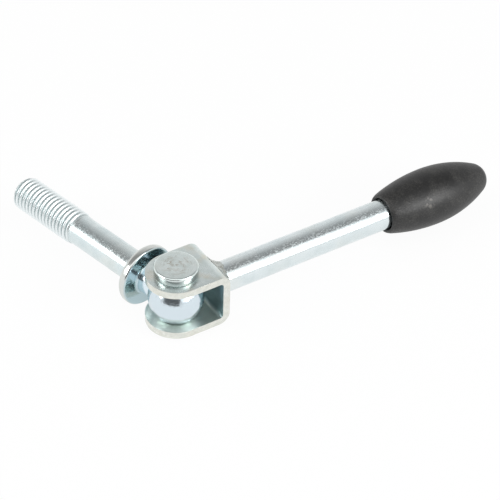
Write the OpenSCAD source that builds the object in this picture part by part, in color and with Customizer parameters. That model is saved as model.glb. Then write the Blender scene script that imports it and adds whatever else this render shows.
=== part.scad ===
// Folding screw handle for a trailer jack clamp.
// A forged eye bolt screws into the clamp, and a bar handle with a soft grip
// swings on a rivet through its eye, so that it folds out of the way.
// Millimetres. The stud lies along X with its tip towards -X, and the rivet stands along Z.

/* [Eye bolt] */
// outside diameter of the rolled thread
thread_d = 14; // [12:0.5:16]
// length of the thread, chamfered tip included
thread_len = 34; // [20:1:60]
// chamfer round the tip
tip_chamfer = 1.6; // [0.5:0.1:2.5]
// length over which the thread runs out into the shank
runout_len = 1.2; // [0.5:0.1:3]
// plain shank, the size the thread is rolled from
shank_d = 12.5; // [11:0.1:14]
// plain length between the thread and the collar
shank_len = 35; // [10:0.5:60]
// hollow fillet between shank and collar
shank_fillet = 2; // [0.5:0.1:3]
// collar that presses on the clamp
collar_d = 25.4; // [22:0.1:34]
// collar thickness
collar_t = 4.2; // [4:0.1:9]
// rounding of the collar's edge towards the stud
collar_back_r = 2.2; // [0.5:0.1:2.5]
// rounding of the collar's edge towards the eye
collar_front_r = 0.9; // [0.3:0.1:2]
// neck between collar and eye
neck_d = 12.5; // [9:0.1:13]
// hollow fillet between neck and collar
neck_fillet = 1.2; // [0.5:0.1:2]
// from the collar's face to the middle of the eye
eye_reach = 15.8; // [15:0.1:24]
// height of the eye between its flat faces
eye_h = 16.6; // [14:0.1:20]
// flat face of the eye, from its bore out to the ball
eye_land = 2.14; // [1.8:0.02:3]
// how far the flat faces' rounded edge stands in from the ball
eye_edge_r = 0.8; // [0.4:0.1:1.5]

/* [Clevis] */
// sheet thickness
sheet_t = 3; // [2:0.1:4]
// width of the strip, and of the round ear ends
strip_w = 24; // [20:0.5:34]
// from the ball of the eye to the inside of the web
web_clear = 3; // [1:0.1:10]
// inside radius of the two bends
bend_r = 1.5; // [0.8:0.1:4]
// rounding of the punched edges
sheet_edge_r = 0.5; // [0.2:0.1:0.8]
// play under the eye, which lies on the lower ear
eye_seat_clear = 0.1; // [0.05:0.05:0.3]
// play over the eye
eye_top_clear = 0.5; // [0.1:0.1:3]

/* [Rivet] */
// rivet shank
rivet_d = 10; // [7:0.1:11]
// running play in the eye, on the radius
rivet_eye_clear = 0.08; // [0.02:0.01:0.1]
// head across
rivet_head_d = 17.4; // [14:0.1:22]
// head height
rivet_head_h = 3.8; // [2:0.1:5]
// rounded shoulder round the flat top
rivet_shoulder_r = 0.9; // [0.3:0.1:1.8]
// peened tail across
rivet_tail_d = 15; // [12:0.1:20]
// peened tail height
rivet_tail_h = 2.4; // [1.5:0.1:4]

/* [Handle] */
// bar
rod_d = 12.5; // [10:0.1:14]
// bar from the web to the mouth of the grip
rod_free_len = 80; // [40:1:150]
// bar inside the grip
rod_in_grip = 38; // [20:1:42]
// chamfer on the bar's end
rod_chamfer = 1; // [0.3:0.1:2]
// leg of the weld along the bar
weld_along = 4.2; // [3:0.1:8]
// leg of the weld out across the web
weld_out = 3.8; // [2:0.1:4]
// height of the bead's edges on the bar and on the web
weld_toe = 0.3; // [0.1:0.05:0.6]
// grip length
grip_len = 51.4; // [48:0.1:80]
// grip across, at its fullest
grip_d = 23.7; // [20:0.1:34]
// from the mouth to the fullest place
grip_belly = 23.4; // [15:0.1:28]
// mouth across
grip_mouth_d = 16.4; // [15.6:0.1:19]
// radius of the closed nose
grip_nose_r = 7; // [4:0.1:9]
// rounding of the lip
grip_lip_r = 0.7; // [0.3:0.1:1]
// how far the hole opens out at the mouth, on the radius
grip_flare = 0.8; // [0.2:0.1:1]
// depth over which the hole opens out
grip_flare_len = 1.6; // [0.5:0.1:3]
// how much smaller the grip's hole is than the bar, on the radius
grip_press = 0.05; // [0:0.01:0.2]
// turn of the handle from straight in line with the stud
fold_angle = 77; // [-104:1:104]

/* [Hidden] */
$fn = 96;

STEEL = [0.80, 0.82, 0.84];
BLACK = [0.08, 0.08, 0.08];

// places along X: the full thread ends at zero
collar_x = shank_len;
eye_x = collar_x + collar_t + eye_reach;

// the ball goes through the rim of the eye's flat faces, and the clevis goes round it
eye_rim_r = rivet_d / 2 + rivet_eye_clear + eye_land;
eye_r = sqrt(eye_rim_r * eye_rim_r + eye_h * eye_h / 4);
ear_gap = eye_h + eye_seat_clear + eye_top_clear;
web_reach = eye_r + web_clear;

// heights: the stud's axis is at zero, and the eye lies on the lower ear
ear_z = ear_gap / 2 - eye_h / 2 - eye_seat_clear;
ear_outer = ear_gap / 2 + sheet_t;

// places along the handle, from the rivet
web_face = web_reach + sheet_t;
mouth_x = web_face + rod_free_len;
bend_x = web_reach - bend_r;

// grip: the belly's two arcs and the nose meet tangent
grip_r = grip_d / 2;
grip_front_drop = grip_r - grip_mouth_d / 2;
grip_front_arc = (grip_belly * grip_belly + grip_front_drop * grip_front_drop) / (2 * grip_front_drop);
nose_run = grip_len - grip_nose_r - grip_belly;
grip_rear_arc = (nose_run * nose_run + grip_r * grip_r - grip_nose_r * grip_nose_r) / (2 * (grip_r - grip_nose_r));
nose_join = grip_len - grip_nose_r + grip_nose_r * nose_run / (grip_rear_arc - grip_nose_r);

// Rectangle from the axis out to r, with its two outer corners rounded.
// x is the radius, y runs along the axis from 0 to h.
module turned_disc(r, h, low_r, high_r) {
    square([r - max(low_r, high_r), h]);
    translate([0, low_r]) square([r, h - low_r - high_r]);
    square([r - low_r, h / 2]);
    translate([0, h / 2]) square([r - high_r, h / 2]);
    translate([r - low_r, low_r]) circle(low_r);
    translate([r - high_r, h - high_r]) circle(high_r);
}

// Hollow fillet in the corner between a shaft of radius r and a face at y = 0.
module hollow_fillet(r, leg) {
    difference() {
        translate([r - leg / 2, -leg / 2]) square([leg * 1.5, leg * 1.5]);
        translate([r + leg, leg]) circle(leg);
    }
}

// Right half of the eye bolt's turned outline, from the tip to the middle of the eye.
module bolt_outline() {
    thread_r = thread_d / 2;
    shank_r = shank_d / 2;
    polygon([
        [0, -thread_len],
        [thread_r - tip_chamfer, -thread_len],
        [thread_r, -thread_len + tip_chamfer],
        [thread_r, 0],
        [shank_r, runout_len],
        [shank_r, collar_x + collar_t / 2],
        [0, collar_x + collar_t / 2],
    ]);
    translate([0, collar_x]) mirror([0, 1]) hollow_fillet(shank_r, shank_fillet);
    translate([0, collar_x]) turned_disc(collar_d / 2, collar_t, collar_back_r, collar_front_r);
    translate([0, collar_x + collar_t]) hollow_fillet(neck_d / 2, neck_fillet);
    translate([0, collar_x + collar_t / 2]) square([neck_d / 2, collar_t / 2 + eye_reach]);
}

// Outline of the eye: a ball, flat above and below, with rounded edges.
module eye_outline() {
    flat_r = eye_rim_r - eye_edge_r;
    intersection() {
        translate([0, -eye_h / 2]) turned_disc(eye_r, eye_h, eye_r - flat_r, eye_r - flat_r);
        circle(eye_r);
    }
}

// One forging: rolled stud, collar, neck and bored ball eye.
module eye_bolt() {
    color(STEEL) difference() {
        union() {
            rotate([0, 90, 0]) rotate_extrude() bolt_outline();
            translate([eye_x, 0, 0]) rotate_extrude() eye_outline();
        }
        translate([eye_x, 0, -eye_h]) cylinder(r = rivet_d / 2 + rivet_eye_clear, h = 2 * eye_h);
    }
}

// The handle's own frame: rivet axis at the origin, bar along X, ears even about z = 0.
module handle_frame() {
    translate([eye_x, 0, ear_z]) rotate([0, 0, fold_angle]) children();
}

// Cross-section of the punched strip, with its rounded edges.
module strip_section() {
    inner_w = strip_w / 2 - sheet_edge_r;
    inner_t = sheet_t / 2 - sheet_edge_r;
    square([strip_w, 2 * inner_t], center = true);
    square([2 * inner_w, sheet_t], center = true);
    for (sx = [-1, 1], sy = [-1, 1])
        translate([sx * inner_w, sy * inner_t]) circle(sheet_edge_r);
}

// One ear: half-round end and straight run up to the bend, with its bore.
module ear() {
    difference() {
        union() {
            rotate([0, 0, 90]) rotate_extrude(angle = 180) intersection() {
                strip_section();
                translate([0, -sheet_t]) square([strip_w, 2 * sheet_t]);
            }
            rotate([90, 0, 90]) linear_extrude(bend_x) strip_section();
        }
        translate([0, 0, -sheet_t]) cylinder(r = rivet_d / 2, h = 2 * sheet_t);
    }
}

// Quarter bend from the upper ear down into the web.
module bend() {
    translate([bend_x, 0, ear_gap / 2 - bend_r]) rotate([90, 0, 0]) rotate_extrude(angle = 90)
        translate([bend_r + sheet_t / 2, 0]) rotate([0, 0, 90]) strip_section();
}

module clevis_shape() {
    for (side = [0, 1]) mirror([0, 0, side]) {
        translate([0, 0, ear_gap / 2 + sheet_t / 2]) ear();
        bend();
    }
    web_h = ear_gap - 2 * bend_r;
    translate([web_reach + sheet_t / 2, 0, -web_h / 2]) rotate([0, 0, 90])
        linear_extrude(web_h) strip_section();
}

// What the weld meets: the flat of the web and the round backs of the two bends.
module clevis_back() {
    web_h = ear_gap - 2 * bend_r;
    rotate([90, 0, 0]) linear_extrude(strip_w, center = true) {
        translate([bend_x, -web_h / 2]) square([bend_r + sheet_t, web_h]);
        for (side = [-1, 1]) translate([bend_x, side * web_h / 2]) circle(bend_r + sheet_t);
    }
}

// One punched strip, bent to a U.
module clevis() {
    color(STEEL) handle_frame() clevis_shape();
}

// Rivet: turned head above the upper ear, peened tail under the lower one.
module hinge_pin() {
    tail_ball = (rivet_tail_d * rivet_tail_d / 4 + rivet_tail_h * rivet_tail_h) / (2 * rivet_tail_h);
    color(STEEL) handle_frame() rotate_extrude() {
        translate([0, -ear_outer]) square([rivet_d / 2, 2 * ear_outer]);
        translate([0, ear_outer]) turned_disc(rivet_head_d / 2, rivet_head_h, 0.3, rivet_shoulder_r);
        intersection() {
            translate([0, -ear_outer - rivet_tail_h]) square([rivet_tail_d, rivet_tail_h]);
            translate([0, tail_ball - ear_outer - rivet_tail_h]) circle(tail_ball);
        }
    }
}

// Straight bar, butt-welded to the web, its far end hidden in the grip.
module handle_rod() {
    rod_r = rod_d / 2;
    color(STEEL) handle_frame() translate([web_face, 0, 0]) rotate([0, 90, 0]) {
        end = rod_free_len + rod_in_grip;
        cylinder(r = rod_r, h = end - rod_chamfer);
        translate([0, 0, end - rod_chamfer]) cylinder(r1 = rod_r, r2 = rod_r - rod_chamfer, h = rod_chamfer);
    }
}

// Fillet weld round the foot of the bar, down onto the web and its bends.
module weld_bead() {
    rod_r = rod_d / 2;
    weld_rise = weld_out - weld_toe;
    weld_run = weld_along - weld_toe;
    weld_arc = (weld_run * weld_run + weld_rise * weld_rise) / (2 * weld_rise);
    color(STEEL) handle_frame() difference() {
        translate([web_face, 0, 0]) rotate([0, 90, 0]) rotate_extrude() difference() {
            translate([rod_r, -sheet_t / 2]) square([weld_out, weld_along + sheet_t / 2]);
            translate([rod_r + weld_toe + weld_arc, weld_along]) circle(weld_arc);
        }
        clevis_back();
    }
}

// Right half of the grip's outline: x is the radius, y runs from the mouth to the nose.
module grip_outline() {
    mouth_r = grip_mouth_d / 2;
    difference() {
        intersection() {
            square([grip_r, grip_belly]);
            translate([grip_r - grip_front_arc, grip_belly]) circle(grip_front_arc, $fn = 360);
        }
        translate([mouth_r - grip_lip_r, 0]) difference() {
            square(grip_lip_r * 1.2);
            translate([0, grip_lip_r]) circle(grip_lip_r);
        }
    }
    intersection() {
        translate([0, grip_belly]) square([grip_r, nose_join - grip_belly]);
        translate([grip_r - grip_rear_arc, grip_belly]) circle(grip_rear_arc, $fn = 360);
    }
    intersection() {
        translate([0, nose_join]) square([grip_r, grip_len]);
        translate([0, grip_len - grip_nose_r]) circle(grip_nose_r);
    }
}

// Moulded oval grip with a blind hole, pushed on the bar.
module grip() {
    hole_r = rod_d / 2 - grip_press;
    color(BLACK) handle_frame() translate([mouth_x, 0, 0]) rotate([0, 90, 0]) difference() {
        rotate_extrude() grip_outline();
        translate([0, 0, -1]) cylinder(r = hole_r, h = 1 + rod_in_grip);
        translate([0, 0, -grip_flare_len])
            cylinder(r1 = hole_r + 2 * grip_flare, r2 = hole_r, h = 2 * grip_flare_len);
    }
}

eye_bolt();
clevis();
hinge_pin();
handle_rod();
weld_bead();
grip();
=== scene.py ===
import bpy
import bmesh
import math
from mathutils import Matrix, Vector


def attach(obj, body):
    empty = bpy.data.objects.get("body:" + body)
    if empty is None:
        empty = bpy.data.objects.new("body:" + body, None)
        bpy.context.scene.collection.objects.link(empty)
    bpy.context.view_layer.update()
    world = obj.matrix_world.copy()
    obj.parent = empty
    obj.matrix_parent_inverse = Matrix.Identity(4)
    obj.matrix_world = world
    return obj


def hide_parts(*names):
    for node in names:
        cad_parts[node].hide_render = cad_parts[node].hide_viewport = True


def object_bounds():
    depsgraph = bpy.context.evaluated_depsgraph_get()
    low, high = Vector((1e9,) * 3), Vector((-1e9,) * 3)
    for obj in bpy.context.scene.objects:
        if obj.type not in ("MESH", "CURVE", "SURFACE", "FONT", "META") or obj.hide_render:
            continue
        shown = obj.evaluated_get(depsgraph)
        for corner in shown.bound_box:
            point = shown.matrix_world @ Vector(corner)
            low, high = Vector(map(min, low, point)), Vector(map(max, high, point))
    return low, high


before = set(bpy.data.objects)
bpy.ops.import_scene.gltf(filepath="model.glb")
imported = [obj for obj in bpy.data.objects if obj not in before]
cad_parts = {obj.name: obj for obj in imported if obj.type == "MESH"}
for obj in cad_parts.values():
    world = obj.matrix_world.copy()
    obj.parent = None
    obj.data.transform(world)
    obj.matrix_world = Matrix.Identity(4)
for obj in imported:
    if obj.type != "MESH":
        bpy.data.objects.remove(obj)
cad_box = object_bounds()


# Camera, room and light
# The handle lies on a white table, seen from 40 degrees above through a long lens, in a white
# room with a soft box on each side.
mm = 0.001
scene = bpy.context.scene
scene.view_settings.view_transform = "Standard"

# The camera is placed from the rivet's axis, which is this far from the thread's inner end in mm.
eye_at = 55.0
rivet_at = Vector((eye_at * mm, 0, 0))
view_turn = math.radians(43.18)
view_rise = math.radians(40.11)
view_roll = math.radians(2.07)
aim_right = 28.43 * mm
aim_up = 17.60 * mm
camera_far = 794.5 * mm
level = Vector((math.cos(view_turn), math.sin(view_turn), 0))
flat_share = math.cos(view_rise)
away = Vector((
    math.sin(view_turn) * flat_share, -math.cos(view_turn) * flat_share, math.sin(view_rise)))
upward = away.cross(level)
image_right = level * math.cos(view_roll) + upward * math.sin(view_roll)
image_up = upward * math.cos(view_roll) - level * math.sin(view_roll)
look_at = rivet_at + image_right * aim_right + image_up * aim_up

camera_data = bpy.data.cameras.new("camera")
camera_data.sensor_width = 36
camera_data.lens = 148.8
camera_data.clip_start = 0.01
camera = bpy.data.objects.new("camera", camera_data)
camera.matrix_world = Matrix((image_right, image_up, away)).transposed().to_4x4()
camera.location = look_at + away * camera_far
scene.collection.objects.link(camera)
scene.camera = camera


def add_node(tree, kind, inputs=None, **settings):
    """Add a node, set its settings, and fill or link its inputs, by name or by place.
    A node given for an input stands for its first output. A Map Range takes its value, the range it
    reads and the range it gives in places 0 to 4. A Mix takes its share in place 0 and its two
    ends in 2 and 3, or in 6 and 7 for colours."""
    node = tree.nodes.new(kind)
    for setting, value in settings.items():
        setattr(node, setting, value)
    for key, value in (inputs or {}).items():
        if isinstance(value, bpy.types.Node):
            value = value.outputs[0]
        if isinstance(value, bpy.types.NodeSocket):
            tree.links.new(value, node.inputs[key])
        else:
            node.inputs[key].default_value = value
    return node


def colour(hex_code):
    """Linear colour of an sRGB hex code."""
    parts = [int(hex_code[i:i + 2], 16) / 255 for i in (1, 3, 5)]
    return [c / 12.92 if c <= 0.04045 else ((c + 0.055) / 1.055) ** 2.4 for c in parts] + [1]


# The room: white walls, dimmer at their foot, under a grey ceiling, which is darkest just behind the
# zenith and ends in front at a wide white screen. The camera stands in a dark gap in the front wall,
# and it sees plain white all round itself.
world = bpy.data.worlds.new("white_room")
world.use_nodes = True
scene.world = world
room = world.node_tree
room.nodes.clear()
white = (1, 1, 1, 1)
wall_front = 1.25
wall_back = 0.85
wall_foot = 0.84
ceiling_back = 0.80
ceiling_shade = 0.34
gap_shade = 0.12

# Where one light gives way to the next: by how far a direction faces the front, or by its height.
wall_change = (-0.35, 0.20)
shade_change = (-0.92, -0.35)
screen_change = (0.02, 0.17)
ceiling_change = (0.35, 0.60)
foot_change = (0.0, 0.32)
facing = Vector((away.x, away.y, 0)).normalized()
direction = add_node(room, "ShaderNodeTexCoord").outputs["Generated"]
frontness = add_node(
    room, "ShaderNodeVectorMath", {0: direction, 1: facing}, operation="DOT_PRODUCT").outputs["Value"]
height_up = add_node(room, "ShaderNodeSeparateXYZ", {0: direction}).outputs["Z"]
wall = add_node(
    room, "ShaderNodeMapRange",
    {0: frontness, 1: wall_change[0], 2: wall_change[1], 3: wall_back, 4: wall_front},
    interpolation_type="SMOOTHSTEP")
ceiling_rear = add_node(
    room, "ShaderNodeMapRange",
    {0: frontness, 1: shade_change[0], 2: shade_change[1], 3: ceiling_back, 4: ceiling_shade})
ceiling = add_node(
    room, "ShaderNodeMapRange",
    {0: frontness, 1: screen_change[0], 2: screen_change[1], 3: ceiling_rear, 4: wall_front},
    interpolation_type="SMOOTHSTEP")
above = add_node(
    room, "ShaderNodeMapRange", {0: height_up, 1: ceiling_change[0], 2: ceiling_change[1]},
    interpolation_type="SMOOTHSTEP")
low_wall = add_node(
    room, "ShaderNodeMapRange",
    {0: height_up, 1: foot_change[0], 2: foot_change[1], 3: wall_foot, 4: wall},
    interpolation_type="SMOOTHSTEP")
around = add_node(room, "ShaderNodeMix", {0: above, 2: low_wall, 3: ceiling})

# The gap: about 70 degrees wide and 40 high, with soft edges, a little to the left of the camera.
gap_left = 0.28
gap_middle = 0.30
gap_wide_edge = (0.70, 0.42)
gap_high_edge = (0.43, 0.24)
gap_out = (facing - level * gap_left).normalized()
gap_side = Vector((-gap_out.y, gap_out.x, 0))
gap_across = add_node(
    room, "ShaderNodeVectorMath", {0: direction, 1: gap_side}, operation="DOT_PRODUCT").outputs["Value"]
gap_off = add_node(room, "ShaderNodeMath", {0: gap_across}, operation="ABSOLUTE")
gap_wide = add_node(
    room, "ShaderNodeMapRange", {0: gap_off, 1: gap_wide_edge[0], 2: gap_wide_edge[1]},
    interpolation_type="SMOOTHSTEP")
gap_rise = add_node(
    room, "ShaderNodeMath", {0: height_up, 1: gap_middle}, operation="SUBTRACT")
gap_away = add_node(room, "ShaderNodeMath", {0: gap_rise}, operation="ABSOLUTE")
gap_high = add_node(
    room, "ShaderNodeMapRange", {0: gap_away, 1: gap_high_edge[0], 2: gap_high_edge[1]},
    interpolation_type="SMOOTHSTEP")
gap_front = add_node(
    room, "ShaderNodeMath", {0: frontness, 1: 0.0}, operation="GREATER_THAN")
gap_panel = add_node(
    room, "ShaderNodeMath", {0: gap_wide, 1: gap_high}, operation="MULTIPLY")
in_gap = add_node(
    room, "ShaderNodeMath", {0: gap_panel, 1: gap_front}, operation="MULTIPLY")
room_level = add_node(room, "ShaderNodeMix", {0: in_gap, 2: around, 3: gap_shade})
lit_room = add_node(room, "ShaderNodeBackground", {"Color": white, "Strength": room_level})
white_room = add_node(room, "ShaderNodeBackground", {"Color": white, "Strength": 1.0})
room_rays = add_node(room, "ShaderNodeLightPath").outputs
seen_room = add_node(
    room, "ShaderNodeMixShader",
    {0: room_rays["Is Camera Ray"], 1: lit_room, 2: white_room})
add_node(room, "ShaderNodeOutputWorld", {"Surface": seen_room})

# The table: white paper, which keeps a faint soft shadow under the handle. Bright metal mirrors it
# nearly as white as the camera sees it.
table_reach = 3.0
seen_share = 0.94
mirrored_share = 0.72
floor_z = cad_box[0][2]
corners = [
    (-table_reach, -table_reach), (table_reach, -table_reach),
    (table_reach, table_reach), (-table_reach, table_reach)]
table_mesh = bpy.data.meshes.new("table")
table_mesh.from_pydata([(x, y, floor_z) for x, y in corners], [], [(0, 1, 2, 3)])
table = bpy.data.objects.new("table", table_mesh)
scene.collection.objects.link(table)
paper = bpy.data.materials.new("white_paper")
paper.use_nodes = True
sheet = paper.node_tree
sheet.nodes.clear()
matt = add_node(sheet, "ShaderNodeBsdfDiffuse", {"Color": colour("#f4f5f5")})
glow = add_node(sheet, "ShaderNodeEmission", {"Color": white, "Strength": 1.0})
table_rays = add_node(sheet, "ShaderNodeLightPath").outputs
seen_white = add_node(
    sheet, "ShaderNodeMath", {0: table_rays["Is Camera Ray"], 1: seen_share}, operation="MULTIPLY")
mirrored_white = add_node(
    sheet, "ShaderNodeMath", {0: table_rays["Is Glossy Ray"], 1: mirrored_share}, operation="MULTIPLY")
white_share = add_node(
    sheet, "ShaderNodeMath", {0: seen_white, 1: mirrored_white},
    operation="MAXIMUM")
table_top = add_node(
    sheet, "ShaderNodeMixShader", {0: white_share, 1: matt, 2: glow})
add_node(sheet, "ShaderNodeOutputMaterial", {"Surface": table_top})
table_mesh.materials.append(paper)

# Two soft boxes low in front, one on each side of the camera, a metre from the rivet.
box_wide = 0.50
box_high = 0.36
box_rise = 0.42
for box_side, box_ahead, watts in ((0.80, 0.45, 4.2), (-0.86, 0.30, 3.4)):
    box_light = bpy.data.lights.new("soft_box", "AREA")
    box_light.shape = "RECTANGLE"
    box_light.size = box_wide
    box_light.size_y = box_high
    box_light.energy = watts
    soft_box = bpy.data.objects.new("soft_box", box_light)
    box_out = (level * box_side + facing * box_ahead + Vector((0, 0, box_rise))).normalized()
    soft_box.matrix_world = box_out.to_track_quat("Z", "Y").to_matrix().to_4x4()
    soft_box.location = rivet_at + box_out
    scene.collection.objects.link(soft_box)


# Eye bolt
# One steel forging: a stud with a rolled M14 thread, a plain shank, a collar that presses on the
# clamp, a short neck and a ball eye with flat faces. It is plated with bright blue-white zinc.
thread_r = 7.0
root_r = 6.0
pitch = 2.0
thread_len = 34.0
tip_chamfer = 1.6
runout = 1.2
shank_r = 6.25
collar_at = 35.0
collar_t = 4.2
collar_r = 12.7
collar_fillet = 2.0
back_round = 2.2
face_round = 0.9
neck_r = 6.25
neck_fillet = 1.2
eye_r = 11.0
eye_h = 16.6
bore_r = 5.08
bore_ease = 0.3
bolt_steps = 96
ball_steps = 128
collar_end = collar_at + collar_t


def zinc_plate(name, pale, dull, gloss, cloud_mm, film=0.12):
    """Bright zinc on steel: pale blue-grey metal, clouded in soft patches, under a thin film that
    turns it straw-coloured here and there.
    Returns the material, its tree, its shader and the Object coordinates."""
    plate = bpy.data.materials.new(name)
    plate.use_nodes = True
    tree = plate.node_tree
    shader = tree.nodes["Principled BSDF"]
    shader.inputs["Metallic"].default_value = 1.0
    where = add_node(tree, "ShaderNodeTexCoord").outputs["Object"]
    cloud = add_node(
        tree, "ShaderNodeTexNoise",
        {"Vector": where, "Scale": 1 / (cloud_mm * mm), "Detail": 4.0, "Roughness": 0.6})
    patch = add_node(tree, "ShaderNodeMapRange", {0: cloud, 1: 0.35, 2: 0.65})
    tint = add_node(
        tree, "ShaderNodeMix", {0: patch, 6: colour(pale), 7: colour(dull)},
        data_type="RGBA")
    drift_mm = 1.7 * cloud_mm
    drift = add_node(
        tree, "ShaderNodeTexNoise",
        {"Vector": where, "W": 3.0, "Scale": 1 / (drift_mm * mm), "Detail": 3.0},
        noise_dimensions="4D")
    straw = add_node(
        tree, "ShaderNodeMapRange", {0: drift, 1: 0.48, 2: 0.70, 3: 0.0, 4: film})
    filmed = add_node(
        tree, "ShaderNodeMix", {0: straw, 6: tint.outputs[2], 7: colour("#e0d3bb")},
        data_type="RGBA")
    tree.links.new(filmed.outputs[2], shader.inputs["Base Color"])
    dulled = add_node(
        tree, "ShaderNodeMapRange", {0: patch, 3: gloss * 0.85, 4: gloss * 1.2})
    tree.links.new(dulled.outputs[0], shader.inputs["Roughness"])
    return plate, tree, shader, where


def pitted(tree, shader, place, pit_mm, strength):
    """Fine pits in the plated skin: dull specks that scatter light where the metal round them
    mirrors."""
    speck_dull = 0.46
    pit_deep = 0.005 * mm
    pits = add_node(
        tree, "ShaderNodeTexNoise",
        {"Vector": place, "Scale": 1 / (pit_mm * mm), "Detail": 1.0, "Roughness": 0.5})
    speck = add_node(
        tree, "ShaderNodeMapRange", {0: pits, 1: 0.43, 2: 0.68, 3: 0.0, 4: strength})
    gloss = shader.inputs["Roughness"].links[0].from_socket
    speckled = add_node(tree, "ShaderNodeMix", {0: speck, 2: gloss, 3: speck_dull})
    tree.links.new(speckled.outputs[0], shader.inputs["Roughness"])
    bump = add_node(
        tree, "ShaderNodeBump", {"Height": pits, "Strength": strength, "Distance": pit_deep})
    if shader.inputs["Normal"].is_linked:
        tree.links.new(shader.inputs["Normal"].links[0].from_socket, bump.inputs["Normal"])
    tree.links.new(bump.outputs[0], shader.inputs["Normal"])


def plain_mesh(source, name):
    """The evaluated object as a plain mesh, with the object removed."""
    evaluated = source.evaluated_get(bpy.context.evaluated_depsgraph_get())
    mesh = bpy.data.meshes.new_from_object(evaluated)
    mesh.name = name
    bpy.data.objects.remove(source)
    return mesh


def arc(centre, radius, start, end, steps):
    """Points of a round, from the start angle to the end angle in degrees."""
    turns = [math.radians(start + (end - start) * i / steps) for i in range(steps + 1)]
    return [(centre[0] + radius * math.cos(t), centre[1] + radius * math.sin(t)) for t in turns]


def turned(outline, steps, ring=False):
    """Turn an outline of (along, radius) points, in millimetres, about X.
    A radius of zero closes an end on the axis, and ring joins the outline's two ends."""
    shape = bmesh.new()
    turns = [2 * math.pi * i / steps for i in range(steps)]
    loops = []
    for along, radius in outline:
        if radius < 1e-6:
            loops.append([shape.verts.new((along, 0, 0))])
        else:
            round_points = [(along, radius * math.cos(t), radius * math.sin(t)) for t in turns]
            loops.append([shape.verts.new(point) for point in round_points])
    pairs = list(zip(loops, loops[1:]))
    if ring:
        pairs.append((loops[-1], loops[0]))
    for low, high in pairs:
        for i in range(steps):
            j = (i + 1) % steps
            four = [low[i % len(low)], low[j % len(low)], high[j % len(high)], high[i % len(high)]]
            shape.faces.new(list(dict.fromkeys(four)))
    bmesh.ops.recalc_face_normals(shape, faces=shape.faces)
    return shape


def placed_mesh(shape, name, place):
    """A mesh in metres from a shape in millimetres, put in its place."""
    bmesh.ops.transform(shape, matrix=place @ Matrix.Scale(mm, 4), verts=shape.verts)
    mesh = bpy.data.meshes.new(name)
    shape.to_mesh(mesh)
    shape.free()
    return mesh


def finish_piece(mesh, body, node, crease):
    """Add the finished piece: smooth, creased at its edges, on its body in place of a CAD node."""
    mesh.shade_smooth()
    mesh.set_sharp_from_angle(angle=math.radians(crease))
    piece = bpy.data.objects.new(mesh.name, mesh)
    scene.collection.objects.link(piece)
    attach(piece, body)
    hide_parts(node)


# Zinc on the forging: bright and a little blue, more so on the collar's face and the neck. The face's
# darker blue is painted shade and the neck's paler blue a painted highlight. The rolled thread is dull,
# with pale crests and darker roots; the roots' darker tint is painted shade in the grooves. The shank's
# skin is finely pitted along its top: real pits are about 0.3 mm, drawn here at 0.6 mm so that they
# show as grain where the metal mirrors the ceiling. The ball keeps gentle waves from the die, about 2
# mm long.
thread_dull = 0.33
root_dull = 0.60
collar_bright = 0.15
ball_bright = 0.16
crest_tint = "#f4fafb"
root_painted_shade = "#b4c0c1"
pit_mm = 0.6
pits_low_z = 3.0
pits_full_z = 5.0
wave_mm = 2.0
wave_deep = 0.2
forged_zinc, forge, forge_shader, forge_at = zinc_plate(
    "zinc_on_forged_steel", pale="#e5eeef", dull="#d8e4e6", gloss=0.19, cloud_mm=6.0)
forge_x = add_node(forge, "ShaderNodeSeparateXYZ", {0: forge_at}).outputs["X"]
shank_gloss = forge_shader.inputs["Roughness"].links[0].from_socket
thread_gloss = add_node(
    forge, "ShaderNodeMapRange",
    {0: forge_x, 1: -0.5 * mm, 2: 1.0 * mm, 3: thread_dull, 4: shank_gloss})
collar_gloss = add_node(
    forge, "ShaderNodeMapRange",
    {0: forge_x, 1: (collar_at - 1) * mm, 2: (collar_at + 1) * mm, 3: thread_gloss, 4: collar_bright})
ball_gloss = add_node(
    forge, "ShaderNodeMapRange",
    {0: forge_x, 1: (eye_at - 13) * mm, 2: (eye_at - 9) * mm, 3: collar_gloss,
     4: ball_bright})
forge_tint = forge_shader.inputs["Base Color"].links[0].from_socket
off_axis = add_node(
    forge, "ShaderNodeVectorMath", {0: forge_at, 1: (0.0, 1.0, 1.0)}, operation="MULTIPLY")
axis_far = add_node(
    forge, "ShaderNodeVectorMath", {0: off_axis}, operation="LENGTH").outputs["Value"]
on_thread = add_node(
    forge, "ShaderNodeMapRange", {0: forge_x, 1: -1.0 * mm, 2: 0.4 * mm, 3: 1.0, 4: 0.0})
in_root = add_node(
    forge, "ShaderNodeMapRange",
    {0: axis_far, 1: (root_r + 0.1) * mm, 2: (thread_r - 0.35) * mm, 3: on_thread, 4: 0.0})
pale_crest = add_node(
    forge, "ShaderNodeMix", {0: on_thread, 6: forge_tint, 7: colour(crest_tint)},
    data_type="RGBA").outputs[2]
# Painted shade: the thread's roots get a darker tint, standing in for the shade in the grooves.
tint_with_painted_light = add_node(
    forge, "ShaderNodeMix", {0: in_root, 6: pale_crest, 7: colour(root_painted_shade)},
    data_type="RGBA").outputs[2]
root_gloss = add_node(forge, "ShaderNodeMix", {0: in_root, 2: ball_gloss, 3: root_dull})
forge.links.new(root_gloss.outputs[0], forge_shader.inputs["Roughness"])
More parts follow.
